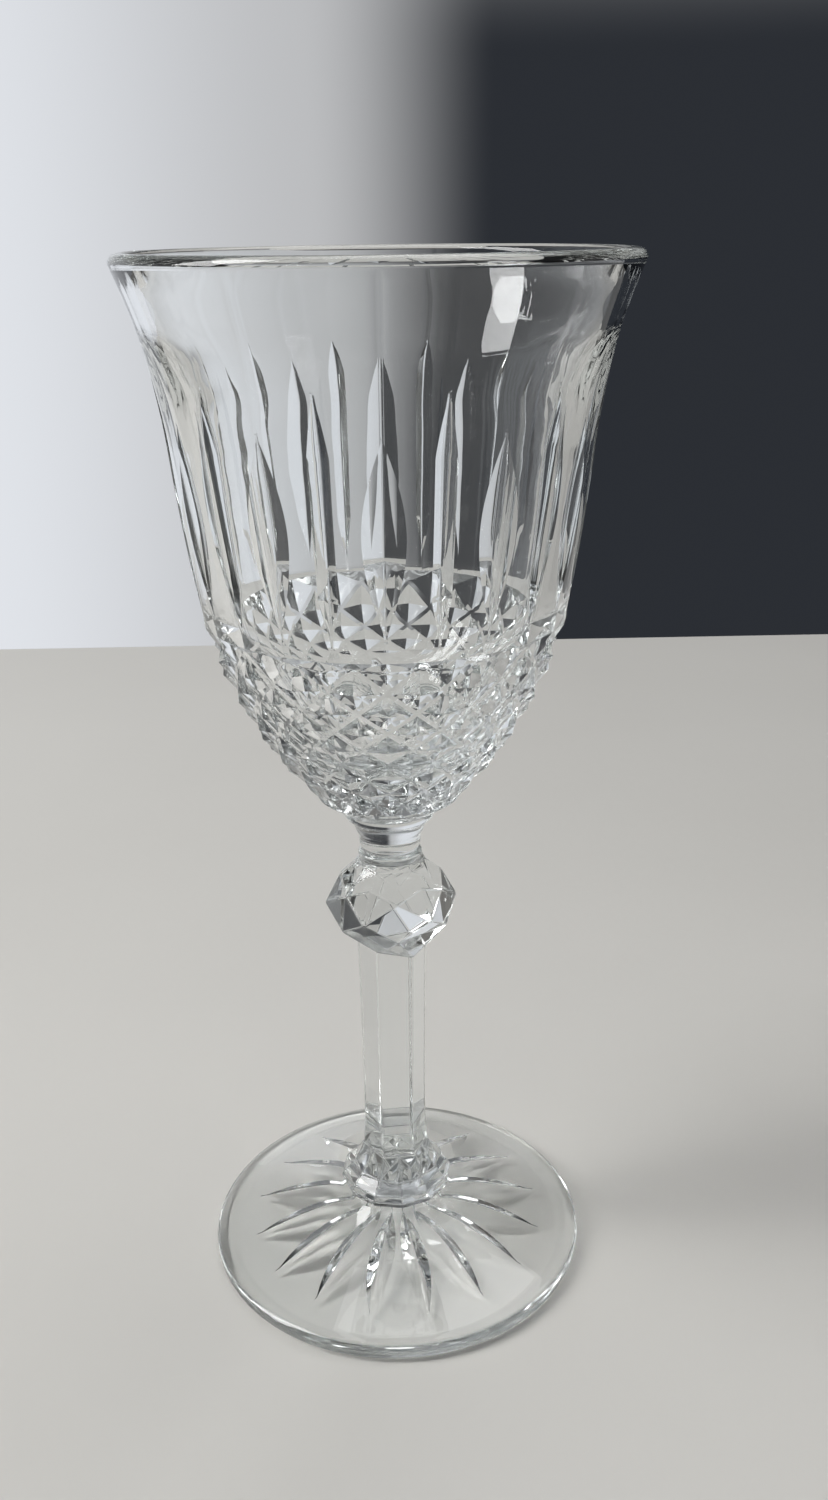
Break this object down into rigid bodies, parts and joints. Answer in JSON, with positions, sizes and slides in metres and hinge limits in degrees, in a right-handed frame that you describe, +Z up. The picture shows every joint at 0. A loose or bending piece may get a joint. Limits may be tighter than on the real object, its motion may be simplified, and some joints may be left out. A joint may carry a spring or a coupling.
{
  "type": "wine glass",
  "caption": "Stemmed wine glass of clear cut crystal: flared bowl with leaf cuts over a band of diamond cuts, faceted knop, hexagonal stem and a domed foot with a star cut underneath.",
  "frame": {"origin": "centre of the resting plane of the foot, on the axis of the glass", "axes": "+Z up along the axis of the glass towards the lip; -Y points at the viewer, through the middle of one wide leaf cut of the bowl and between two rays of the foot; the hexagonal stem stands turned 6 degrees anticlockwise from it, seen from above"},
  "size_m": [0.0772, 0.0772, 0.175],
  "materials": {
    "crystal": "polished clear lead crystal"
  },
  "bodies": {
    "root": {"bowl": "crystal", "collar": "crystal", "knop": "crystal", "shaft": "crystal", "stem_base": "crystal", "foot": "crystal"}
  },
  "joints": []
}
